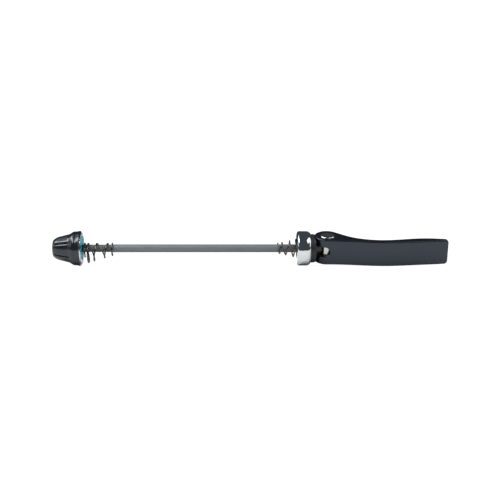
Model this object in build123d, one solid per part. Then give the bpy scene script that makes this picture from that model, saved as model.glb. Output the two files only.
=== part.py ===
from build123d import *
import math
import os

# Quick release skewer of a bicycle wheel, lying on its nut and its lever.
# Millimetres. The origin is on the rod's axis at the cup's clamping face, +X runs along
# the rod towards the lever and +Z is up. The lever stands in line with the rod, half way
# between open and closed, and the whole part is rolled about X until the lever lies down.

# Rod and the length that it clamps
rod_d = 5.0
rod_chamfer = 0.5
clamp_length = 133.8        # nut's clamping face to cup's clamping face
rod_set_back = 3.5          # rod end inside the nut's open outer end
rod_past_pin = 3.4          # rod end past the pivot's axis, inside the trunnion
thread_clearance = 0.05     # radial, on the rod's thread
guide_clearance = 0.25      # radial, where the cup slides on the rod

# Cam, fork and pivot
cam_r = 8.0
cam_throw = 1.0             # offset of the cam's centre from the pivot
swing_open = 75.0           # degrees from the drawn place to fully open
swing_closed = 90.0         # degrees from the drawn place to fully closed
trunnion_d = 9.0
trunnion_proud = 0.6        # of the lever's sides
trunnion_edge_r = 0.8
pivot_clearance = 0.05      # radial
slot_clearance = 0.8        # beside the rod in the fork

# Lever blade, measured from the pivot along the lever and out of its front face
lever_reach = 74.9
fork_width = 16.6
tip_width = 16.0
bulge_along = 35.0          # where the front face stands out most
bulge_out = 9.75
blade_thickness = 4.1
cam_leave = 40.0            # degrees round the cam from its back to where the neck leaves it
neck_along = 14.5           # middle of the neck's back
neck_out = 0.5
thumb_from_tip = 16.5       # thickest part of the finger end
thumb_front = 8.1
thumb_thickness = 5.5
tip_front = 6.3
tip_front_slope = 0.18      # of the front face at the tip, back towards the rod's line
tip_back_slope = 0.12
tip_thickness = 2.7
tip_corner_r = 2.2
lever_edge_r = 0.8
mark_count = 3              # slanted grip marks on each side of the neck
mark_first = 10.5           # from the pivot
mark_first_out = 2.7
mark_pitch = 4.1
mark_rise = 1.1             # from one mark to the next, towards the front
mark_length = 2.6
mark_width = 0.8
mark_depth = 0.8
mark_slant = 35.0

# Cup and the saddle in it that the cam bears on
cup_d = 21.5
cup_depth = 8.6
cup_edge_r = 1.3            # at the clamping face
cup_shoulder = 2.9          # length of the rounded shoulder towards the lever
cup_lip = 0.12              # flat left round the saddle
cup_floor = 3.0
seat_d = 17.8
seat_fit = 0.03             # radial, saddle in the cup
saddle_floor = 1.68         # bottom of the saddle's groove above the cup's rim
saddle_wing = 3.6           # top of the saddle's wings above the cup's rim
saddle_round = 2.0
groove_margin = 1.5         # groove radius less cam radius
cam_rest_gap = 0.24         # groove's room before the cam touches it
spring_recess_depth = 1.0

# Conical springs
wire_d = 0.95
wire_sides = 8
spring_gap = 0.1            # between a spring and what it lies on
lever_spring_wide_d = 12.4  # outside
lever_spring_length = 12.3  # between the wire's two ends
lever_spring_half_turns = 7
lever_spring_closing = 0.45 # how far the turns close up towards the ends, 0 to 1
nut_spring_wide_d = 13.3    # outside
nut_spring_narrow_d = 8.3   # outside
nut_spring_length = 17.35   # between the wire's two ends
nut_spring_half_turns = 9
nut_spring_closing = 0.65
nut_spring_crowding = 1.28  # over 1, the turns crowd to the wide end
nut_spring_first = 0.63     # share of the first half turn that is there
nut_spring_from_face = 0.8  # between the nut's face and the spring's nearest turn

# Nut: grip shell, steel core with a toothed face, and the locking ring in it
nut_length = 17.9
nut_end_d = 10.0
grip_start = 3.6            # from the outer end
grip_start_d = 14.6
grip_end = 10.2
grip_end_d = 17.9
flare_end = 12.9
flare_end_d = 21.3
rim_d = 22.0
rim_edge = 0.4
end_hole_d = 6.4
groove_count = 6            # finger grooves round the grip
groove_first = 31.5         # degrees above the line to the viewer
groove_depth = 0.9
groove_half_angle = 60.0    # of its walls
groove_floor = 1.3          # width of its bottom
groove_floor_end = 0.2      # width of its bottom where it has run out
groove_straight = 9.0       # from the outer end to where the groove starts to run out
core_proud = 0.8            # of the toothed face over the shell
core_flange_d = 19.8
core_flange_thickness = 2.6
core_hub_d = 9.2
core_hub_length = 13.0
tooth_count = 36
tooth_depth = 0.4
tooth_land_d = 16.2         # the unbroken ring inside the teeth
lock_ring_d = 15.2
lock_ring_thickness = 1.3
lock_ring_edge = 0.3

# Worked out from the sizes above
rod_r = rod_d / 2
wire_r = wire_d / 2
cup_r = cup_d / 2
groove_r = cam_r + groove_margin
saddle_bottom_x = cup_depth + saddle_floor
groove_axis_x = saddle_bottom_x + groove_r
pivot_x = groove_axis_x - math.sqrt(groove_margin**2 - cam_throw**2) + cam_rest_gap
nut_face_x = -clamp_length
nut_end_x = nut_face_x - nut_length
slot_half = rod_r + slot_clearance
thumb_along = lever_reach - thumb_from_tip


def lever_half_width(along):
    """Half the lever's width at a place along it, as it narrows evenly to the tip."""
    return (fork_width + (tip_width - fork_width) * along / lever_reach) / 2


def lever_roll():
    """Degrees of roll about X at which the lever's lower front edge meets the floor under the nut."""
    across = lever_half_width(bulge_along) - lever_edge_r
    out = bulge_out - lever_edge_r
    reach = math.hypot(across, out)
    return math.degrees(math.atan2(out, across) - math.acos((rim_d / 2 - lever_edge_r) / reach))


# The lever's own frame has the pivot at its origin and along Z, and its front face at -Y.
lever_frame = Pos(pivot_x, 0, 0) * Rot(lever_roll(), 0, 0)


def turned(outline):
    """Solid turned about the X axis from a closed outline of (x, radius) points."""
    return revolve(make_face(Polyline(*outline, close=True)), Axis.X)


def disc(x_start, x_end, diameter):
    """Cylinder about the X axis between two places along it."""
    return Pos(x_start, 0, 0) * Rot(0, 90, 0) * Cylinder(
        diameter / 2, x_end - x_start, align=(Align.CENTER, Align.CENTER, Align.MIN)
    )


def skewer_rod():
    rod = disc(nut_end_x + rod_set_back, pivot_x + rod_past_pin, rod_d)
    return chamfer(rod.edges().filter_by(GeomType.CIRCLE), rod_chamfer)


def trunnion_pin():
    length = fork_width + 2 * trunnion_proud
    barrel = Cylinder(trunnion_d / 2, length)
    barrel = fillet(barrel.edges().filter_by(GeomType.CIRCLE), trunnion_edge_r)
    rod_hole = Rot(0, 90, 0) * Cylinder(rod_r + thread_clearance, 2 * trunnion_d)
    return lever_frame * (barrel - rod_hole)


def lever_profile():
    """Side outline of the lever: cam, curved front face, finger end and back."""
    leave = math.radians(cam_leave)
    cam_front = (0, cam_throw - cam_r)
    cam_back = (cam_r * math.sin(leave), cam_throw + cam_r * math.cos(leave))
    tip_low = (lever_reach, -tip_front)
    tip_high = (lever_reach, tip_thickness - tip_front)
    front_points = [cam_front, (bulge_along, -bulge_out), (thumb_along, -thumb_front), tip_low]
    back_points = [
        tip_high,
        (thumb_along, thumb_thickness - thumb_front),
        (bulge_along, blade_thickness - bulge_out),
        (neck_along, -neck_out),
        cam_back,
    ]
    front = Spline(*front_points, tangents=[(1, 0), (1, tip_front_slope)])
    tip = Line(tip_low, tip_high)
    neck_end = (-math.cos(leave), math.sin(leave))
    back = Spline(*back_points, tangents=[(-1, tip_back_slope), neck_end])
    cam = ThreePointArc(cam_back, (-cam_r, cam_throw), cam_front)
    return make_face([front, tip, back, cam])


def rod_slot():
    """Room in the fork for the rod, over the whole swing of the lever."""
    span = 3 * cam_r
    open_way = Rot(0, 0, swing_open)
    closed_way = Rot(0, 0, -swing_closed)
    opened = (open_way * Pos(-span, 0, 0)).position
    closed = (closed_way * Pos(-span, 0, 0)).position
    corner_front = (-span, opened.Y)
    corner_back = (-span, closed.Y)
    sector = Polyline((0, 0), opened, corner_front, corner_back, closed, close=True)
    slot = extrude(make_face(sector), slot_half, both=True)
    rod_room = Pos(-span / 2, 0, 0) * Rot(0, 90, 0) * Cylinder(slot_half, span)
    return slot + open_way * rod_room + closed_way * rod_room


def grip_marks():
    """Shallow slanted marks on both sides of the lever's neck."""
    marks = []
    for index in range(mark_count):
        along = mark_first + index * mark_pitch
        out = mark_first_out + index * mark_rise
        for side in (-1, 1):
            place = Pos(along, -out, side * lever_half_width(along)) * Rot(0, 0, mark_slant)
            marks.append(place * Box(mark_length, mark_width, 2 * mark_depth))
    return marks


def cam_lever():
    blank = extrude(lever_profile(), fork_width, both=True)
    start = -2 * cam_r
    plan = Polyline(
        (start, lever_half_width(start)),
        (lever_reach, tip_width / 2),
        (lever_reach, -tip_width / 2),
        (start, -lever_half_width(start)),
        close=True,
    )
    lever = blank & extrude(Plane.XZ * make_face(plan), 4 * cam_r, both=True)
    tip_corners = lever.edges().filter_by(Axis.Y).group_by(Axis.X)[-1]
    lever = fillet(tip_corners, tip_corner_r)
    straight = lever.edges().filter_by(GeomType.LINE)
    tip_edges = straight.filter_by(Axis.Z).group_by(Axis.X)[-1]
    curved = ShapeList(edge for edge in lever.edges() if edge not in straight)
    lever = fillet(curved + tip_edges, lever_edge_r)
    bore = Cylinder(trunnion_d / 2 + pivot_clearance, 2 * fork_width)
    lever = lever - rod_slot() - bore
    for mark in grip_marks():
        lever = lever - mark
    return lever_frame * lever


def clamp_cup():
    bore_r = rod_r + guide_clearance
    recess_r = lever_spring_wide_d / 2 + 2 * spring_gap
    pocket_r = seat_d / 2 + seat_fit
    shoulder_start = (cup_depth - cup_shoulder, cup_r)
    shoulder_end = (cup_depth, pocket_r + cup_lip)
    shoulder = TangentArc(shoulder_start, shoulder_end, tangent=(1, 0))
    rest = Polyline(
        shoulder_end,
        (cup_depth, pocket_r),
        (cup_floor, pocket_r),
        (cup_floor, bore_r),
        (spring_recess_depth, bore_r),
        (spring_recess_depth, recess_r),
        (0, recess_r),
        (0, cup_r),
        shoulder_start,
    )
    cup = revolve(make_face([shoulder, rest]), Axis.X)
    face_edges = cup.edges().filter_by(GeomType.CIRCLE).group_by(Axis.X)[0]
    return fillet(face_edges.sort_by(SortBy.RADIUS)[-1], cup_edge_r)


def cam_seat():
    seat = disc(cup_floor, cup_depth + saddle_wing, seat_d)
    seat = fillet(seat.edges().filter_by(GeomType.CIRCLE).sort_by(Axis.X)[-1], saddle_round)
    groove = Cylinder(groove_r, 2 * seat_d)
    groove = Pos(groove_axis_x, 0, 0) * Rot(lever_roll(), 0, 0) * groove
    bore = disc(0, 2 * cup_depth, rod_d + 2 * guide_clearance)
    return seat - groove - bore


def conical_spring(wide_d, narrow_d, length, half_turns, closing, crowding=1.0, first_share=1.0):
    """Left-hand coil about +X, from the bottom of its wide end, closed towards both ends.

    Each half turn is a half circle between the coil's lowest and highest points, so the
    wire runs on smoothly from one to the next. Of the first one only a share may be there.
    """
    wide_r = wide_d / 2 - wire_r
    narrow_r = narrow_d / 2 - wire_r
    ends = []
    for index in range(half_turns + 1):
        share = (index / half_turns) ** crowding
        along = share - closing * math.sin(2 * math.pi * share) / (2 * math.pi)
        side = -1 if index % 2 == 0 else 1
        ends.append(Vector(length * along, 0, side * (wide_r + (narrow_r - wide_r) * along)))
    arcs = []
    start_angle = math.pi * (1 - first_share)
    for begin, end in zip(ends, ends[1:]):
        middle = (begin + end) / 2
        arm = begin - middle
        bow = Vector(0, math.copysign(arm.length, arm.Z), 0)
        angles = (start_angle, (start_angle + math.pi) / 2, math.pi)
        arcs.append(ThreePointArc(*(middle + arm * math.cos(angle) + bow * math.sin(angle) for angle in angles)))
        start_angle = 0
    path = Wire(arcs)
    section = Plane(origin=path @ 0, z_dir=path % 0) * RegularPolygon(wire_r, wire_sides)
    return sweep(section, path=path)


def lever_side_spring():
    narrow_d = rod_d + 2 * spring_gap + 2 * wire_d
    coil = conical_spring(
        lever_spring_wide_d, narrow_d, lever_spring_length, lever_spring_half_turns, lever_spring_closing
    )
    seat_x = spring_recess_depth - spring_gap - wire_r
    return Pos(seat_x, 0, 0) * Rot(0, 0, 180) * coil


def nut_side_spring():
    """The loose spring hangs on the rod, so the top of its cone lies along the rod."""
    coil = conical_spring(
        nut_spring_wide_d,
        nut_spring_narrow_d,
        nut_spring_length,
        nut_spring_half_turns,
        nut_spring_closing,
        nut_spring_crowding,
        nut_spring_first,
    )
    hang = math.atan2((nut_spring_wide_d - nut_spring_narrow_d) / 2, nut_spring_length)
    wide_r = nut_spring_wide_d / 2 - wire_r
    top_lean = wide_r * math.sin(hang)
    axis_drop = wide_r * math.cos(hang) - wire_r - spring_gap - rod_r
    seat_x = nut_face_x + top_lean + wire_r + nut_spring_from_face
    return Pos(seat_x, 0, -axis_drop) * Rot(0, -math.degrees(hang), 0) * coil


def finger_groove():
    """Cutter for one groove of the grip: a flat bottom that follows the cone, then runs out."""
    slope = (grip_end_d - grip_start_d) / 2 / (grip_end - grip_start)
    start = -groove_depth
    bottom_start = grip_start_d / 2 - slope * (grip_start - start) - groove_depth
    bottom_end = bottom_start + slope * (groove_straight - start)
    top = rim_d
    spread = math.tan(math.radians(groove_half_angle))
    sections = []
    for along, bottom, floor in (
        (start, bottom_start, groove_floor),
        (groove_straight, bottom_end, groove_floor),
        (flare_end, rim_d / 2, groove_floor_end),
    ):
        low = floor / 2
        high = low + (top - bottom) * spread
        plane = Plane(origin=(nut_end_x + along, 0, 0), x_dir=(0, 1, 0), z_dir=(1, 0, 0))
        section = Polyline((-low, bottom), (low, bottom), (high, top), (-high, top), close=True)
        sections.append(plane * make_face(section))
    return loft(sections, ruled=True)


def nut_shell():
    flange_x = nut_face_x - core_flange_thickness
    hub_x = nut_face_x - core_hub_length
    shell_face = nut_face_x - core_proud
    rim_r = rim_d / 2
    grip_slope = math.atan2((grip_end_d - grip_start_d) / 2, grip_end - grip_start)
    dome = TangentArc(
        (nut_end_x + grip_start, grip_start_d / 2),
        (nut_end_x, nut_end_d / 2),
        tangent=(-math.cos(grip_slope), -math.sin(grip_slope)),
    )
    rest = Polyline(
        (nut_end_x, nut_end_d / 2),
        (nut_end_x, end_hole_d / 2),
        (hub_x, end_hole_d / 2),
        (hub_x, core_hub_d / 2),
        (flange_x, core_hub_d / 2),
        (flange_x, core_flange_d / 2),
        (shell_face, core_flange_d / 2),
        (shell_face, rim_r - rim_edge),
        (shell_face - rim_edge, rim_r),
        (nut_end_x + flare_end, flare_end_d / 2),
        (nut_end_x + grip_end, grip_end_d / 2),
        (nut_end_x + grip_start, grip_start_d / 2),
    )
    shell = revolve(make_face([dome, rest]), Axis.X)
    cutter = finger_groove()
    for index in range(groove_count):
        to_viewer = 90 - groove_first
        shell = shell - Rot(to_viewer + index * 360 / groove_count, 0, 0) * cutter
    return shell


def nut_core():
    flange_x = nut_face_x - core_flange_thickness
    hub_x = nut_face_x - core_hub_length
    recess_x = nut_face_x - lock_ring_thickness - thread_clearance
    bore_r = rod_r + thread_clearance
    core = turned([
        (hub_x, bore_r),
        (recess_x, bore_r),
        (recess_x, lock_ring_d / 2),
        (nut_face_x, lock_ring_d / 2),
        (nut_face_x, core_flange_d / 2),
        (flange_x, core_flange_d / 2),
        (flange_x, core_hub_d / 2),
        (hub_x, core_hub_d / 2),
    ])
    ring_width = (core_flange_d - tooth_land_d) / 2
    middle_r = tooth_land_d / 2 + ring_width
    notch_side = tooth_depth * math.sqrt(2)
    bar = Box(notch_side, notch_side, 2 * ring_width)
    notch = Pos(nut_face_x, 0, middle_r) * Rot(0, 0, 45) * bar
    for index in range(tooth_count):
        core = core - Rot(index * 360 / tooth_count, 0, 0) * notch
    return core


def lock_ring():
    ring = disc(nut_face_x - lock_ring_thickness, nut_face_x, lock_ring_d)
    ring = chamfer(ring.edges().filter_by(GeomType.CIRCLE).sort_by(Axis.X)[-1], lock_ring_edge)
    return ring - disc(nut_end_x, 0, rod_d + 2 * thread_clearance)


pieces = {
    "skewer_rod": skewer_rod,
    "trunnion_pin": trunnion_pin,
    "cam_lever": cam_lever,
    "cam_seat": cam_seat,
    "clamp_cup": clamp_cup,
    "lever_side_spring": lever_side_spring,
    "nut_side_spring": nut_side_spring,
    "nut_shell": nut_shell,
    "nut_core": nut_core,
    "lock_ring": lock_ring,
}

os.makedirs("parts", exist_ok=True)
for name, make_piece in pieces.items():
    export_step(make_piece(), f"parts/{name}.step")
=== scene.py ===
import math

import bpy
from mathutils import Matrix, Vector


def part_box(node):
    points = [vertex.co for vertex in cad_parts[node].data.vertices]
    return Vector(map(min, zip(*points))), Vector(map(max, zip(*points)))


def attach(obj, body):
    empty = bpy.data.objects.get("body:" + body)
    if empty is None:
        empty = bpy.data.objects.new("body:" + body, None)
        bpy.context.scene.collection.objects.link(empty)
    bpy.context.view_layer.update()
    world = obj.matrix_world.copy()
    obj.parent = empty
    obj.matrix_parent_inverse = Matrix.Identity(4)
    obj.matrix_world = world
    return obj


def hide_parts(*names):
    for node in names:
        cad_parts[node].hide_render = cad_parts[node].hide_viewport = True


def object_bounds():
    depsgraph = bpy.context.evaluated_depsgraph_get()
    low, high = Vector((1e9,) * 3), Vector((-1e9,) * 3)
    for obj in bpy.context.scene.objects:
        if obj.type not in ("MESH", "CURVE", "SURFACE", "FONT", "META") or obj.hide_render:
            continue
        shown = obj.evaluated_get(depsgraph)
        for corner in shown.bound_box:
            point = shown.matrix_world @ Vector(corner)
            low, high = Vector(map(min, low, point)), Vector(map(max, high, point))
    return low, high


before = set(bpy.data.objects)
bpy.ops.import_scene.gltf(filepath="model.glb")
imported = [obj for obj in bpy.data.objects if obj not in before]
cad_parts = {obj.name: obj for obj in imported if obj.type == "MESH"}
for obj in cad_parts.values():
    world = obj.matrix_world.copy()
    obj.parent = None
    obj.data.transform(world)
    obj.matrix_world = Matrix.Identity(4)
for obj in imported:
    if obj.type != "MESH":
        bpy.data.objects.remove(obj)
cad_low, cad_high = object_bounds()

# Quick release skewer of a bicycle wheel. Lengths are in metres, in the frame of the solids:
# the rod along X with the lever at +X, and +Z up. MM turns a size in millimetres into metres.
MM = 0.001

# Places read from the solids
rod_low, rod_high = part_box("skewer_rod")
nut_low, nut_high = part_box("nut_shell")
core_low, core_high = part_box("nut_core")
cup_face_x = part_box("clamp_cup")[0].x
rod_radius = rod_high.z
nut_face_x = core_high.x

# Rod and its thread
thread_pitch = 0.8 * MM
thread_depth = 0.4 * MM
thread_end_x = nut_face_x + 19.0 * MM
thread_run_out = 1.6 * MM
thread_steps = 10                   # rings of points on one pitch
thread_crest_share = 0.14           # of half a pitch
thread_flank_share = 0.76           # of half a pitch
rod_sides = 48
rod_chamfer = 0.5 * MM
nut_shadow_length = 6 * MM            # from the nut's face to where the painted shadow of the nut on the rod ends
nut_shadow_share = 0.25               # of the rod's own colour that the painted shadow of the nut leaves at the nut's face
bar_sharp_angle = math.radians(50)  # past which an edge of the rod or of a spring is sharp

# Springs
wire_radius = 0.475 * MM
wire_sides = 16
steps_in_half_turn = 28
spring_gap = 0.1 * MM               # between a spring and what it lies on
spring_recess = 1.0 * MM            # depth of the cup's recess for its spring
lever_spring_half_turns = 7
lever_spring_closing = 0.45         # how far the turns close up towards the ends, 0 to 1
lever_spring_wide = 12.4 * MM
lever_spring_narrow = 7.1 * MM
lever_spring_length = 12.3 * MM
nut_spring_half_turns = 9
nut_spring_closing = 0.65
nut_spring_crowding = 1.28          # over 1, the turns crowd to the wide end
nut_spring_first = 0.63             # share of the first half turn that is there
nut_spring_wide = 13.3 * MM
nut_spring_narrow = 8.3 * MM
nut_spring_length = 17.35 * MM
nut_spring_from_face = 0.8 * MM

# Saddle
seat_ridge_pitch = 1.25 * MM
seat_grain_share = 0.5              # height of the grain beside that of the ridges

# Nut shell, with lengths from its outer end
nut_end_radius = 5.0 * MM
nut_hole_radius = 3.2 * MM
grip_start = 3.6 * MM
grip_start_radius = 7.3 * MM
grip_end = 10.2 * MM
grip_end_radius = 8.95 * MM
flare_end = 12.9 * MM
flare_end_radius = 10.65 * MM
rim_edge = 0.4 * MM
grip_hollow = 0.9 * MM              # of the rounding between grip and flare, along each
flare_round = 1.2 * MM              # of the rounding between flare and rim, along each
rim_waist = 0.17 * MM               # by which the rim is hollow along its length
core_hub_radius = 4.6 * MM
core_flange_thickness = 2.6 * MM

# Finger grooves of the nut shell, and the lands between them
groove_count = 6
groove_first = math.radians(21.3)   # above the line to the viewer
groove_start = 0.6 * MM
groove_full = 2.2 * MM              # from here the grooves and the flats are full
groove_straight = 8.4 * MM          # to here the grooves are full
groove_end = 12.6 * MM
groove_depth = 0.85 * MM            # of the slot below its shoulders
groove_half_width = 0.5 * MM        # of the slot
groove_widening = 0.4 * MM          # of the half widths where the groove runs out
shoulder_depth = 0.33 * MM
shoulder_half_width = 1.2 * MM
land_flat = 0.2 * MM                # by which the middle of a land is flattened
land_edge = 0.8 * MM                # from a groove's middle to where that begins
land_straight = 9.4 * MM            # to here the flats are full
land_end = 10.8 * MM

# Mesh of the nut shell
dome_steps = 10
grip_steps = 14
round_steps = 8                     # over each rounding, and along the rim
groove_columns = 30                 # across one groove
land_columns = 16                   # between two grooves
groove_reach = 1.7 * MM             # either side of a groove's middle that takes the fine columns
shell_sharp_angle = math.radians(45)

# Middle range of a noise, over which the finishes change
noise_low = 0.3
noise_high = 0.7

# Stage
floor_half = 3.0
floor_colour = (0.59, 0.59, 0.59, 1.0)
floor_roughness = 0.9
floor_white = 1.15                  # what the eye sees of the ground and the background
floor_white_share = 0.75            # near the object, the rest of it takes light and shadow
white_from = 0.2                    # from the origin to where the ground begins to turn all white
white_to = 0.4                      # from the origin to where it is all white
sheet_front = 45 * MM               # from the rod to the front edge of the white sheet
backdrop_start = 60 * MM            # from the rod back to where the ground is bright in reflections
room_tone = (60, 66, 72)            # screen colour of the dark room in reflections
room_light = 0.4
ceiling_radius = 2.5
ceiling_rings = 12
ceiling_sides = 32
ceiling_low = math.radians(-1)
white = (1, 1, 1, 1)

# Photograph: where its frame sits on the rod, and where it was taken from, with angles in degrees
photo_pixels = 500
photo_pixel = 0.625 * MM            # at the rod
cup_face_pixel = 296.8              # column of the cup's clamping face
rod_row_pixel = 248.3               # row of the rod's axis
camera_distance = 0.66
camera_azimuth = -1.0
camera_elevation = 0.8
sensor_width = 36.0
clip_near = 0.01
clip_far = 20.0


# Nodes

def linear(red, green, blue):
    """Linear colour with full alpha from a screen colour of 0 to 255."""
    made = []
    for value in (red, green, blue):
        share = value / 255
        made.append(share / 12.92 if share <= 0.04045 else ((share + 0.055) / 1.055) ** 2.4)
    return (*made, 1.0)


def node(tree, kind, inputs=None, **settings):
    """New node whose inputs are set to values or joined to the sockets that are given."""
    made = tree.nodes.new(kind)
    for key, value in settings.items():
        setattr(made, key, value)
    for key, value in (inputs or {}).items():
        if isinstance(value, bpy.types.NodeSocket):
            tree.links.new(value, made.inputs[key])
        else:
            made.inputs[key].default_value = value
    return made


def math_node(tree, operation, *values):
    """Result of one operation on values and sockets."""
    return node(tree, "ShaderNodeMath", dict(enumerate(values)), operation=operation).outputs["Value"]


def held(tree, value):
    """Value held between 0 and 1."""
    return math_node(tree, "MINIMUM", math_node(tree, "MAXIMUM", value, 0.0), 1.0)


def ranged(tree, value, from_low, from_high, to_low, to_high):
    """Value carried from one range to another and held within it."""
    inputs = {
        "Value": value,
        "From Min": from_low,
        "From Max": from_high,
        "To Min": to_low,
        "To Max": to_high,
    }
    return node(tree, "ShaderNodeMapRange", inputs).outputs["Result"]


def place_on(tree, axis):
    """Place on the object along one axis."""
    place = node(tree, "ShaderNodeTexCoord").outputs["Object"]
    return node(tree, "ShaderNodeSeparateXYZ", {"Vector": place}).outputs[axis]


def mixed_colour(tree, share, first, second):
    """Colour that goes from the first to the second as the share goes from 0 to 1."""
    return node(tree, "ShaderNodeMix", {0: share, 6: first, 7: second}, data_type="RGBA").outputs[2]


def mixed_shader(tree, share, first, second):
    """Shader that goes from the first to the second as the share goes from 0 to 1."""
    return node(tree, "ShaderNodeMixShader", {0: share, 1: first, 2: second}).outputs["Shader"]


def glow(tree, colour, strength):
    """Shader of a plain colour that no light changes."""
    return node(tree, "ShaderNodeEmission", {"Color": colour, "Strength": strength}).outputs["Emission"]


def grain(tree, size, stretch=(1, 1, 1), detail=3.0):
    """Noise from 0 to 1 with spots of about that size, drawn out along the axes."""
    place = node(tree, "ShaderNodeTexCoord").outputs["Object"]
    scale = [1 / (size * share) for share in stretch]
    place = node(tree, "ShaderNodeMapping", {"Vector": place, "Scale": scale}).outputs["Vector"]
    noise = node(tree, "ShaderNodeTexNoise", {"Vector": place, "Scale": 1.0, "Detail": detail})
    return noise.outputs["Fac"]


def spread(tree, noise, low, high):
    """Value between low and high as a noise goes over its middle range."""
    return ranged(tree, noise, noise_low, noise_high, low, high)


def ramp(tree, noise, dark, light):
    """Colour between dark and light as a noise goes over its middle range."""
    made = node(tree, "ShaderNodeValToRGB", {"Fac": noise})
    made.color_ramp.elements[0].position = noise_low
    made.color_ramp.elements[0].color = dark
    made.color_ramp.elements[1].position = noise_high
    made.color_ramp.elements[1].color = light
    return made.outputs["Color"]


# Finishes

def new_material(name):
    """Material with its node tree and its shader."""
    material = bpy.data.materials.new(name)
    material.use_nodes = True
    return material, material.node_tree, material.node_tree.nodes["Principled BSDF"]


def tint(tree, shader, noise, dark, light, low, high):
    """Colour between dark and light, and roughness between low and high, that follow a noise."""
    tree.links.new(ramp(tree, noise, dark, light), shader.inputs["Base Color"])
    tree.links.new(spread(tree, noise, low, high), shader.inputs["Roughness"])


def roughen(tree, shader, height, strength, distance):
    """Fine relief from a height that goes up and down by about 1."""
    bump = node(tree, "ShaderNodeBump", {"Height": height, "Strength": strength, "Distance": distance})
    tree.links.new(bump.outputs["Normal"], shader.inputs["Normal"])


def drawn_steel():
    """Grey drawn rod with fine streaks along it, with painted shade where the springs lie round it and a
    painted shadow of the nut, darkest at the nut.
    """
    material, tree, shader = new_material("drawn_steel")
    streak = grain(tree, 0.25 * MM, (60, 1, 1), 4.0)
    patch = grain(tree, 5 * MM, (3, 1, 1))
    plain = ramp(tree, streak, linear(108, 115, 119), linear(122, 129, 133))
    # Painted shade of the springs: a darker tone of the rod from the nut to the thread's end and along the
    # cup's spring
    spring_shaded = ramp(tree, streak, linear(96, 98, 100), linear(110, 112, 114))
    along = place_on(tree, "X")
    near_nut = math_node(tree, "LESS_THAN", along, thread_end_x)
    near_cup = math_node(tree, "GREATER_THAN", along, cup_face_x - lever_spring_length)
    under_springs = math_node(tree, "MAXIMUM", near_nut, near_cup)
    colour = mixed_colour(tree, under_springs, plain, spring_shaded)
    # Painted shadow of the nut: the rod's colour goes towards near black at the nut's face
    unshadowed_share = ranged(tree, along, nut_face_x, nut_face_x + nut_shadow_length, nut_shadow_share, 1.0)
    colour = mixed_colour(tree, unshadowed_share, linear(20, 20, 21), colour)
    tree.links.new(colour, shader.inputs["Base Color"])
    tree.links.new(spread(tree, patch, 0.44, 0.52), shader.inputs["Roughness"])
    shader.inputs["Metallic"].default_value = 0.2
    roughen(tree, shader, streak, 0.25, 0.02 * MM)
    return material


def bright_zinc(name, dark, light, low, high):
    """Plated steel between two tones and between two degrees of roughness."""
    material, tree, shader = new_material(name)
    tint(tree, shader, grain(tree, 1.2 * MM), dark, light, low, high)
    shader.inputs["Metallic"].default_value = 1.0
    roughen(tree, shader, grain(tree, 0.3 * MM), 0.06, 0.02 * MM)
    return material


def satin_lever_black():
    """Blue-black satin coat with a fine even grain."""
    material, tree, shader = new_material("satin_lever_black")
    tint(tree, shader, grain(tree, 14 * MM), linear(8, 9, 12), linear(11, 12, 16), 0.28, 0.33)
    shader.inputs["IOR"].default_value = 1.54
    shader.inputs["Specular IOR Level"].default_value = 1.0
    shader.inputs["Specular Tint"].default_value = (0.7, 0.82, 1.0, 1.0)
    roughen(tree, shader, grain(tree, 0.22 * MM, detail=2.0), 0.12, 0.03 * MM)
    return material


def satin_nut_black():
    """Smoother and a little paler coat than the lever's."""
    material, tree, shader = new_material("satin_nut_black")
    tint(tree, shader, grain(tree, 6 * MM), linear(19, 21, 27), linear(24, 26, 32), 0.17, 0.22)
    shader.inputs["Specular IOR Level"].default_value = 0.95
    shader.inputs["Specular Tint"].default_value = (0.86, 0.93, 1.0, 1.0)
    roughen(tree, shader, grain(tree, 0.3 * MM, detail=2.0), 0.01, 0.01 * MM)
    return material


def moulded_black():
    """Moulded plastic with a fine grain, and faint ridges round the rod's axis."""
    material, tree, shader = new_material("moulded_black")
    speck = grain(tree, 0.35 * MM, detail=4.0)
    tint(tree, shader, speck, linear(28, 31, 36), linear(37, 41, 47), 0.36, 0.46)
    turn = math_node(tree, "MULTIPLY", place_on(tree, "X"), 2 * math.pi / seat_ridge_pitch)
    ridge = math_node(tree, "SINE", turn)
    height = math_node(tree, "MULTIPLY_ADD", speck, seat_grain_share, ridge)
    roughen(tree, shader, height, 0.5, 0.06 * MM)
    return material


def polished_chrome():
    """Chrome plate with a faint haze, and fine lines round the rod's axis."""
    material, tree, shader = new_material("polished_chrome")
    tint(tree, shader, grain(tree, 3 * MM), linear(236, 239, 240), linear(243, 245, 246), 0.05, 0.09)
    shader.inputs["Metallic"].default_value = 1.0
    roughen(tree, shader, grain(tree, 0.12 * MM, (1, 30, 30)), 0.04, 0.01 * MM)
    return material


def dark_spring_wire():
    """Dark wire that still mirrors its surroundings."""
    material, tree, shader = new_material("dark_spring_wire")
    tint(tree, shader, grain(tree, 0.8 * MM), linear(96, 94, 93), linear(118, 115, 114), 0.18, 0.28)
    shader.inputs["Metallic"].default_value = 1.0
    roughen(tree, shader, grain(tree, 0.15 * MM), 0.15, 0.02 * MM)
    return material


def teal_nylon():
    """Blue-green plastic with little gloss."""
    material, tree, shader = new_material("teal_nylon")
    tint(tree, shader, grain(tree, 2 * MM), linear(40, 172, 198), linear(60, 190, 214), 0.4, 0.5)
    shader.inputs["Specular IOR Level"].default_value = 0.15
    roughen(tree, shader, grain(tree, 0.4 * MM), 0.1, 0.03 * MM)
    return material


# Geometry node trees

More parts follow.
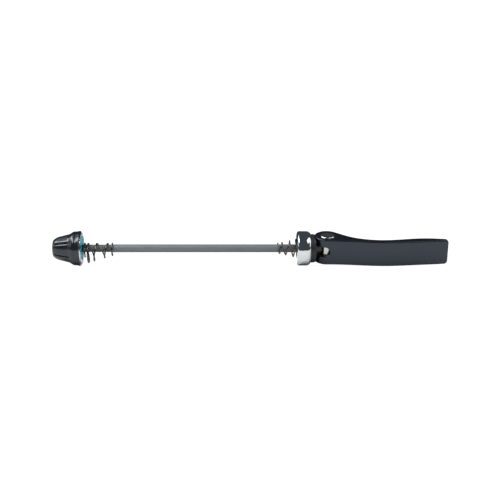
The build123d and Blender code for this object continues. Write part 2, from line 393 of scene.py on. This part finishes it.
def geometry_tree(name, inputs):
    """Geometry tree with named inputs of (label, socket type, value), and its first and last nodes."""
    tree = bpy.data.node_groups.new(name, "GeometryNodeTree")
    tree.interface.new_socket("Geometry", in_out="INPUT", socket_type="NodeSocketGeometry")
    for label, kind, value in inputs:
        socket = tree.interface.new_socket(label, in_out="INPUT", socket_type=kind)
        if value is not None:
            socket.default_value = value
    tree.interface.new_socket("Geometry", in_out="OUTPUT", socket_type="NodeSocketGeometry")
    return tree, tree.nodes.new("NodeGroupInput").outputs, tree.nodes.new("NodeGroupOutput").inputs


def round_bar(tree, path, sides, radius):
    """Bar of round section along a path, with closed ends."""
    curve = node(tree, "GeometryNodeMeshToCurve", {"Mesh": path}).outputs["Curve"]
    section = node(tree, "GeometryNodeCurvePrimitiveCircle", {"Resolution": sides, "Radius": radius})
    inputs = {"Curve": curve, "Profile Curve": section.outputs["Curve"], "Fill Caps": True}
    return node(tree, "GeometryNodeCurveToMesh", inputs).outputs["Mesh"]


def close_tree(tree, geometry, material, last):
    """Ends a tree: smooth faces, real geometry and a material."""
    smooth = node(tree, "GeometryNodeSetShadeSmooth", {"Geometry": geometry}).outputs["Geometry"]
    real = node(tree, "GeometryNodeRealizeInstances", {"Geometry": smooth}).outputs["Geometry"]
    finish = node(tree, "GeometryNodeSetMaterial", {"Geometry": real, "Material": material})
    tree.links.new(finish.outputs["Geometry"], last["Geometry"])


def wire_tree():
    """Round wire along a path."""
    inputs = [
        ("Wire radius", "NodeSocketFloat", wire_radius),
        ("Sides", "NodeSocketInt", wire_sides),
        ("Material", "NodeSocketMaterial", None),
    ]
    tree, first, last = geometry_tree("round_wire", inputs)
    wire = round_bar(tree, first["Geometry"], first["Sides"], first["Wire radius"])
    close_tree(tree, wire, first["Material"], last)
    return tree


def threaded_rod_tree():
    """Rod along X with chamfered ends, and a right-hand thread that runs out."""
    inputs = [
        ("Rod radius", "NodeSocketFloat", rod_radius),
        ("Sides", "NodeSocketInt", rod_sides),
        ("Start", "NodeSocketFloat", rod_low.x),
        ("End", "NodeSocketFloat", rod_high.x),
        ("Chamfer", "NodeSocketFloat", rod_chamfer),
        ("Thread pitch", "NodeSocketFloat", thread_pitch),
        ("Thread depth", "NodeSocketFloat", thread_depth),
        ("Thread end", "NodeSocketFloat", thread_end_x),
        ("Run out", "NodeSocketFloat", thread_run_out),
        ("Material", "NodeSocketMaterial", None),
    ]
    tree, first, last = geometry_tree("threaded_rod", inputs)
    bar = round_bar(tree, first["Geometry"], first["Sides"], first["Rod radius"])
    place = node(tree, "GeometryNodeInputPosition").outputs["Position"]
    axes = node(tree, "ShaderNodeSeparateXYZ", {"Vector": place}).outputs
    turn = math_node(tree, "DIVIDE", math_node(tree, "ARCTAN2", axes["Z"], axes["Y"]), 2 * math.pi)
    turns = math_node(tree, "DIVIDE", axes["X"], first["Thread pitch"])
    phase = math_node(tree, "FRACT", math_node(tree, "SUBTRACT", turns, turn))
    from_crest = math_node(tree, "ABSOLUTE", math_node(tree, "MULTIPLY_ADD", phase, 2.0, -1.0))
    past_crest = math_node(tree, "SUBTRACT", from_crest, thread_crest_share)
    notch = held(tree, math_node(tree, "DIVIDE", past_crest, thread_flank_share))
    left = math_node(tree, "SUBTRACT", first["Thread end"], axes["X"])
    fade = held(tree, math_node(tree, "DIVIDE", left, first["Run out"]))
    cut = math_node(tree, "MULTIPLY", math_node(tree, "MULTIPLY", notch, fade), first["Thread depth"])
    from_start = math_node(tree, "SUBTRACT", axes["X"], first["Start"])
    from_end = math_node(tree, "SUBTRACT", first["End"], axes["X"])
    nearest = math_node(tree, "MINIMUM", from_start, from_end)
    bevel = math_node(tree, "MAXIMUM", math_node(tree, "SUBTRACT", first["Chamfer"], nearest), 0.0)
    taken = math_node(tree, "MAXIMUM", cut, bevel)
    left_share = math_node(tree, "SUBTRACT", 1.0, math_node(tree, "DIVIDE", taken, first["Rod radius"]))
    across = {
        "X": axes["X"],
        "Y": math_node(tree, "MULTIPLY", axes["Y"], left_share),
        "Z": math_node(tree, "MULTIPLY", axes["Z"], left_share),
    }
    moved = node(tree, "ShaderNodeCombineXYZ", across).outputs["Vector"]
    shaped = node(tree, "GeometryNodeSetPosition", {"Geometry": bar, "Position": moved})
    close_tree(tree, shaped.outputs["Geometry"], first["Material"], last)
    return tree


def put(name, data):
    """New object of the scene, at the origin."""
    made = bpy.data.objects.new(name, data)
    bpy.context.scene.collection.objects.link(made)
    return made


def made_along(name, points, tree, material):
    """Plain mesh object that a geometry tree makes along a path of points."""
    path = bpy.data.meshes.new(name + "_path")
    path.from_pydata(points, [(index, index + 1) for index in range(len(points) - 1)], [])
    carrier = put(name + "_path", path)
    modifier = carrier.modifiers.new("make", "NODES")
    modifier.node_group = tree
    for item in tree.interface.items_tree:
        if item.in_out == "INPUT" and item.name == "Material":
            modifier[item.identifier] = material
    graph = bpy.context.evaluated_depsgraph_get()
    mesh = bpy.data.meshes.new_from_object(carrier.evaluated_get(graph), depsgraph=graph)
    mesh.name = name
    mesh.set_sharp_from_angle(angle=bar_sharp_angle)
    bpy.data.objects.remove(carrier)
    bpy.data.meshes.remove(path)
    return put(name, mesh)


# Springs

def coil_points(wide, narrow, length, half_turns, closing, crowding=1.0, first_share=1.0):
    """Centre line of a left-hand conical coil about +X, in half circles from the bottom of its wide end."""
    wide_r = wide / 2 - wire_radius
    narrow_r = narrow / 2 - wire_radius
    ends = []
    for index in range(half_turns + 1):
        share = (index / half_turns) ** crowding
        along = share - closing * math.sin(2 * math.pi * share) / (2 * math.pi)
        side = -1 if index % 2 == 0 else 1
        ends.append(Vector((length * along, 0, side * (wide_r + (narrow_r - wide_r) * along))))
    points = []
    start_angle = math.pi * (1 - first_share)
    for begin, end in zip(ends, ends[1:]):
        middle = (begin + end) / 2
        arm = begin - middle
        bow = Vector((0, math.copysign(arm.length, arm.z), 0))
        for step in range(steps_in_half_turn):
            angle = start_angle + (math.pi - start_angle) * step / steps_in_half_turn
            points.append(middle + arm * math.cos(angle) + bow * math.sin(angle))
        start_angle = 0
    points.append(ends[-1])
    return points


def lever_side_spring(tree, material):
    """The spring whose wide end sits in the cup's recess."""
    coil = coil_points(
        lever_spring_wide,
        lever_spring_narrow,
        lever_spring_length,
        lever_spring_half_turns,
        lever_spring_closing,
    )
    seat_x = cup_face_x + spring_recess - spring_gap - wire_radius
    place = Matrix.Translation((seat_x, 0, 0)) @ Matrix.Rotation(math.pi, 4, "Z")
    spring = made_along("lever_side_coil", [place @ point for point in coil], tree, material)
    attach(spring, "cup")
    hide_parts("lever_side_spring")


def nut_side_spring(tree, material):
    """The loose spring hangs on the rod, so the top of its cone lies along the rod."""
    coil = coil_points(
        nut_spring_wide,
        nut_spring_narrow,
        nut_spring_length,
        nut_spring_half_turns,
        nut_spring_closing,
        nut_spring_crowding,
        nut_spring_first,
    )
    hang = math.atan2((nut_spring_wide - nut_spring_narrow) / 2, nut_spring_length)
    wide_r = nut_spring_wide / 2 - wire_radius
    drop = wide_r * math.cos(hang) - wire_radius - spring_gap - rod_radius
    seat_x = nut_face_x + wide_r * math.sin(hang) + wire_radius + nut_spring_from_face
    place = Matrix.Translation((seat_x, 0, -drop)) @ Matrix.Rotation(-hang, 4, "Y")
    spring = made_along("nut_side_coil", [place @ point for point in coil], tree, material)
    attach(spring, "nut_carriage")
    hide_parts("nut_side_spring")


# Rod

def rod_stations():
    """Places along the rod: close together on the thread, far apart on the plain shank."""
    places = [rod_low.x, rod_low.x + rod_chamfer]
    step = thread_pitch / thread_steps
    count = math.ceil((thread_end_x - places[-1]) / step)
    for index in range(1, count + 1):
        places.append(rod_low.x + rod_chamfer + index * step)
    places += [rod_high.x - rod_chamfer, rod_high.x]
    return [(place, 0, 0) for place in places]


def threaded_rod(material):
    """The rod with its thread at the nut's end."""
    rod = made_along("threaded_rod", rod_stations(), threaded_rod_tree(), material)
    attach(rod, "skewer")
    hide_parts("skewer_rod")


# Nut

def smooth_share(value, low, high):
    """From 0 at low to 1 at high, level at both ends."""
    share = min(max((value - low) / (high - low), 0), 1)
    return share * share * (3 - 2 * share)


def groove_cut(along, arc):
    """Depth of a finger groove at a length along the nut and an arc away from the groove's middle."""
    run_out = smooth_share(along, groove_straight, groove_end)
    widening = groove_widening * run_out
    slot = 1 - smooth_share(abs(arc), 0, groove_half_width + widening)
    shoulder = max(1 - abs(arc) / (shoulder_half_width + widening), 0)
    there = smooth_share(along, groove_start, groove_full) * (1 - run_out)
    return there * (groove_depth * slot + shoulder_depth * shoulder)


def land_drop(along, radius, arc):
    """Depth by which a land between two grooves is flattened, most in its middle."""
    half_pitch = math.pi / groove_count * radius
    share = min((half_pitch - abs(arc)) / (half_pitch - land_edge), 1)
    there = smooth_share(along, groove_start, groove_full)
    there *= 1 - smooth_share(along, land_straight, land_end)
    return there * land_flat * (1 - share * share) ** 2


def stepped(start, end, steps):
    """Points from start to just before end."""
    return [start.lerp(end, step / steps) for step in range(steps)]


def bend(first, middle, last):
    """Points of a smooth curve from first to last that is drawn towards the middle point."""
    points = []
    for step in range(round_steps + 1):
        share = step / round_steps
        points.append(first.lerp(middle, share).lerp(middle.lerp(last, share), share))
    return points


def rounded(before, corner, after, length):
    """Points of a bend that takes the place of a corner, over that length on either side."""
    first = corner + (before - corner).normalized() * length
    last = corner + (after - corner).normalized() * length
    return bend(first, corner, last)


def grip_outline():
    """Outside of the shell as (length, radius), from its outer end over dome, grip and flare to its face."""
    slope = math.atan2(grip_end_radius - grip_start_radius, grip_end - grip_start)
    inward = Vector((math.sin(slope), -math.cos(slope)))
    grip_low = Vector((grip_start, grip_start_radius))
    grip_high = Vector((grip_end, grip_end_radius))
    end_edge = Vector((0, nut_end_radius))
    chord = end_edge - grip_low
    dome_radius = chord.length_squared / (2 * chord.dot(inward))
    centre = grip_low + inward * dome_radius
    first = math.atan2(end_edge.y - centre.y, end_edge.x - centre.x)
    last = math.atan2(-inward.y, -inward.x)
    dome = []
    for step in range(dome_steps):
        angle = first + (last - first) * step / dome_steps
        dome.append(centre + dome_radius * Vector((math.cos(angle), math.sin(angle))))
    flare_high = Vector((flare_end, flare_end_radius))
    face = nut_high.x - nut_low.x
    rim_high = Vector((face - rim_edge, nut_high.z))
    rim_face = Vector((face, nut_high.z - rim_edge))
    hollow = rounded(grip_low, grip_high, flare_high, grip_hollow)
    waist = (flare_high + rim_high) / 2 - Vector((0, 2 * rim_waist))
    crest = rounded(grip_high, flare_high, waist, flare_round)
    rim = bend(crest[-1], waist, rim_high)
    return dome + stepped(grip_low, hollow[0], grip_steps) + hollow + crest + rim[1:] + [rim_face]


def nut_inside():
    """Inside of the shell round the core, from its face back to the hole at its outer end."""
    face = nut_high.x - nut_low.x
    flange = nut_face_x - core_flange_thickness - nut_low.x
    hub = core_low.x - nut_low.x
    return [
        Vector((face, core_high.z)),
        Vector((flange, core_high.z)),
        Vector((flange, core_hub_radius)),
        Vector((hub, core_hub_radius)),
        Vector((hub, nut_hole_radius)),
        Vector((0, nut_hole_radius)),
    ]


def column_place(column, radius):
    """Angle of a column of the mesh at a radius, and its arc from the middle of the nearest groove."""
    groove, step = divmod(column, groove_columns + land_columns)
    pitch = 2 * math.pi / groove_count
    reach = groove_reach / radius
    if step < groove_columns:
        offset = reach * (2 * step / groove_columns - 1)
    else:
        offset = reach + (pitch - 2 * reach) * (step - groove_columns) / land_columns
    nearest = min(offset, pitch - offset, key=abs)
    return groove_first + groove * pitch + offset, nearest * radius


def shell_point(along, radius, angle):
    """Point of the shell at an angle above the line to the viewer."""
    return (nut_low.x + along, -radius * math.cos(angle), radius * math.sin(angle))


def grip_shell(material):
    """Shell about the rod's axis, with grooves and flattened lands on its outside."""
    outside = grip_outline()
    inside = nut_inside()
    columns = groove_count * (groove_columns + land_columns)
    points = []
    for column in range(columns):
        for along, radius in outside:
            angle, arc = column_place(column, radius)
            cut_radius = radius - groove_cut(along, arc) - land_drop(along, radius, arc)
            points.append(shell_point(along, cut_radius, angle))
        for along, radius in inside:
            angle, _ = column_place(column, radius)
            points.append(shell_point(along, radius, angle))
    ring = len(outside) + len(inside)
    faces = []
    for column in range(columns):
        beside = (column + 1) % columns
        for index in range(ring):
            after = (index + 1) % ring
            faces.append((
                column * ring + index,
                column * ring + after,
                beside * ring + after,
                beside * ring + index,
            ))
    mesh = bpy.data.meshes.new("grip_shell")
    mesh.from_pydata(points, [], faces)
    mesh.shade_smooth()
    mesh.set_sharp_from_angle(angle=shell_sharp_angle)
    mesh.materials.append(material)
    shell = put("grip_shell", mesh)
    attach(shell, "nut")
    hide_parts("nut_shell")


# Solids that keep their form and get a finish

def finish_solid(name, material):
    """Gives a solid its finish."""
    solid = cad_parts[name]
    solid.data.materials.clear()
    solid.data.materials.append(material)


# Stage, light and camera

def seen_by(tree, *kinds):
    """One where a ray is of one of those kinds, otherwise zero."""
    path = node(tree, "ShaderNodeLightPath").outputs
    seen = path[kinds[0]]
    for kind in kinds[1:]:
        seen = math_node(tree, "MAXIMUM", seen, path[kind])
    return seen


def pale_floor():
    """White ground. In reflections it ends a little in front of the object, as a small sheet does."""
    mesh = bpy.data.meshes.new("floor")
    corners = [
        (-floor_half, -floor_half, cad_low.z),
        (floor_half, -floor_half, cad_low.z),
        (floor_half, floor_half, cad_low.z),
        (-floor_half, floor_half, cad_low.z),
    ]
    mesh.from_pydata(corners, [], [(0, 1, 2, 3)])
    floor = put("floor", mesh)
    material, tree, shader = new_material("pale_floor")
    shader.inputs["Base Color"].default_value = floor_colour
    shader.inputs["Roughness"].default_value = floor_roughness
    shader.inputs["Specular IOR Level"].default_value = 0.0
    bright = glow(tree, white, floor_white)
    table = glow(tree, linear(*room_tone), 1.0)
    place = node(tree, "ShaderNodeTexCoord").outputs["Object"]
    away = node(tree, "ShaderNodeVectorMath", {0: place}, operation="LENGTH").outputs["Value"]
    share = ranged(tree, away, white_from, white_to, floor_white_share, 1.0)
    eye = math_node(tree, "MULTIPLY", seen_by(tree, "Is Camera Ray", "Is Transmission Ray"), share)
    shown = mixed_shader(tree, eye, shader.outputs["BSDF"], bright)
    across = place_on(tree, "Y")
    mirrored = seen_by(tree, "Is Glossy Ray")
    past_sheet = math_node(tree, "LESS_THAN", across, -sheet_front)
    ahead = math_node(tree, "MULTIPLY", past_sheet, mirrored)
    shown = mixed_shader(tree, ahead, shown, table)
    past_object = math_node(tree, "GREATER_THAN", across, backdrop_start)
    behind = math_node(tree, "MULTIPLY", past_object, mirrored)
    shown = mixed_shader(tree, behind, shown, bright)
    tree.links.new(shown, tree.nodes["Material Output"].inputs["Surface"])
    mesh.materials.append(material)


def studio_world():
    """Even light from all round, with a white background."""
    world = bpy.data.worlds.new("studio")
    bpy.context.scene.world = world
    world.use_nodes = True
    tree = world.node_tree
    room = tree.nodes["Background"]
    room.inputs["Color"].default_value = white
    room.inputs["Strength"].default_value = room_light
    bright = node(tree, "ShaderNodeBackground", {"Color": white, "Strength": floor_white})
    eye = seen_by(tree, "Is Camera Ray", "Is Glossy Ray", "Is Transmission Ray")
    shown = mixed_shader(tree, eye, room.outputs["Background"], bright.outputs["Background"])
    tree.links.new(shown, tree.nodes["World Output"].inputs["Surface"])


def dark_ceiling():
    """Dark dome above the floor, which only reflections show."""
    points = []
    for ring in range(ceiling_rings):
        height = ceiling_low + (math.pi / 2 - ceiling_low) * ring / ceiling_rings
        for side in range(ceiling_sides):
            turn = 2 * math.pi * side / ceiling_sides
            points.append((
                ceiling_radius * math.cos(height) * math.cos(turn),
                ceiling_radius * math.cos(height) * math.sin(turn),
                ceiling_radius * math.sin(height),
            ))
    faces = []
    for ring in range(ceiling_rings - 1):
        for side in range(ceiling_sides):
            after = (side + 1) % ceiling_sides
            faces.append((
                ring * ceiling_sides + side,
                ring * ceiling_sides + after,
                (ring + 1) * ceiling_sides + after,
                (ring + 1) * ceiling_sides + side,
            ))
    faces.append(tuple(range((ceiling_rings - 1) * ceiling_sides, ceiling_rings * ceiling_sides)))
    mesh = bpy.data.meshes.new("ceiling")
    mesh.from_pydata(points, [], faces)
    ceiling = put("ceiling", mesh)
    material, tree, shader = new_material("dark_ceiling")
    dark = glow(tree, linear(*room_tone), 1.0)
    tree.links.new(dark, tree.nodes["Material Output"].inputs["Surface"])
    tree.nodes.remove(shader)
    mesh.materials.append(material)
    ceiling.visible_camera = False
    ceiling.visible_diffuse = False
    ceiling.visible_transmission = False
    ceiling.visible_shadow = False


def look_at(thing, target, azimuth, elevation, distance):
    """Stands a lamp or camera at a distance from a target, at angles in degrees, and turns it there."""
    turn = math.radians(azimuth)
    rise = math.radians(elevation)
    back = Vector((
        math.sin(turn) * math.cos(rise),
        -math.cos(turn) * math.cos(rise),
        math.sin(rise),
    ))
    thing.location = target + back * distance
    thing.rotation_mode = "QUATERNION"
    thing.rotation_quaternion = (-back).to_track_quat("-Z", "Y")


def softbox(name, azimuth, elevation, distance, width, height, power, mirrored=True):
    """Area lamp that looks at the middle of the object, and that reflections show or leave out."""
    lamp = bpy.data.lights.new(name, "AREA")
    lamp.shape = "RECTANGLE"
    lamp.size = width
    lamp.size_y = height
    lamp.energy = power
    made = put(name, lamp)
    made.visible_glossy = mirrored
    look_at(made, (cad_low + cad_high) / 2, azimuth, elevation, distance)


def photo_camera():
    """Camera in the photograph's place, with the rod where the photograph has it."""
    data = bpy.data.cameras.new("camera")
    data.sensor_width = sensor_width
    data.lens = sensor_width * camera_distance / (photo_pixels * photo_pixel)
    data.clip_start = clip_near
    data.clip_end = clip_far
    camera = put("camera", data)
    aim = Vector((
        cup_face_x + (photo_pixels / 2 - cup_face_pixel) * photo_pixel,
        0,
        (rod_row_pixel - photo_pixels / 2) * photo_pixel,
    ))
    look_at(camera, aim, camera_azimuth, camera_elevation, camera_distance)
    bpy.context.scene.camera = camera


threaded_rod(drawn_steel())
spring_wire = wire_tree()
spring_finish = dark_spring_wire()
lever_side_spring(spring_wire, spring_finish)
nut_side_spring(spring_wire, spring_finish)
pin_zinc = bright_zinc("pin_zinc", linear(222, 218, 210), linear(236, 233, 227), 0.14, 0.2)
core_zinc = bright_zinc("core_zinc", linear(222, 230, 234), linear(236, 243, 246), 0.2, 0.3)
finish_solid("trunnion_pin", pin_zinc)
finish_solid("nut_core", core_zinc)
finish_solid("cam_lever", satin_lever_black())
finish_solid("cam_seat", moulded_black())
finish_solid("clamp_cup", polished_chrome())
grip_shell(satin_nut_black())
finish_solid("lock_ring", teal_nylon())

pale_floor()
studio_world()
dark_ceiling()
softbox("right_softbox", azimuth=51, elevation=46, distance=1.2, width=1.0, height=0.6, power=2.4)
softbox("right_card", azimuth=92, elevation=24, distance=1.25, width=0.6, height=0.9, power=2.4)
softbox("left_softbox", azimuth=-66, elevation=49, distance=1.2, width=1.4, height=0.32, power=7.4)
softbox("left_card", azimuth=-85, elevation=40, distance=1.25, width=1.1, height=1.6, power=4.0)
fill = {"distance": 1.2, "width": 1.0, "height": 0.8, "mirrored": False}
softbox("left_fill", azimuth=-50, elevation=52, power=6.0, **fill)
softbox("right_fill", azimuth=40, elevation=60, power=2.5, **fill)
photo_camera()
bpy.context.scene.view_settings.view_transform = "Standard"
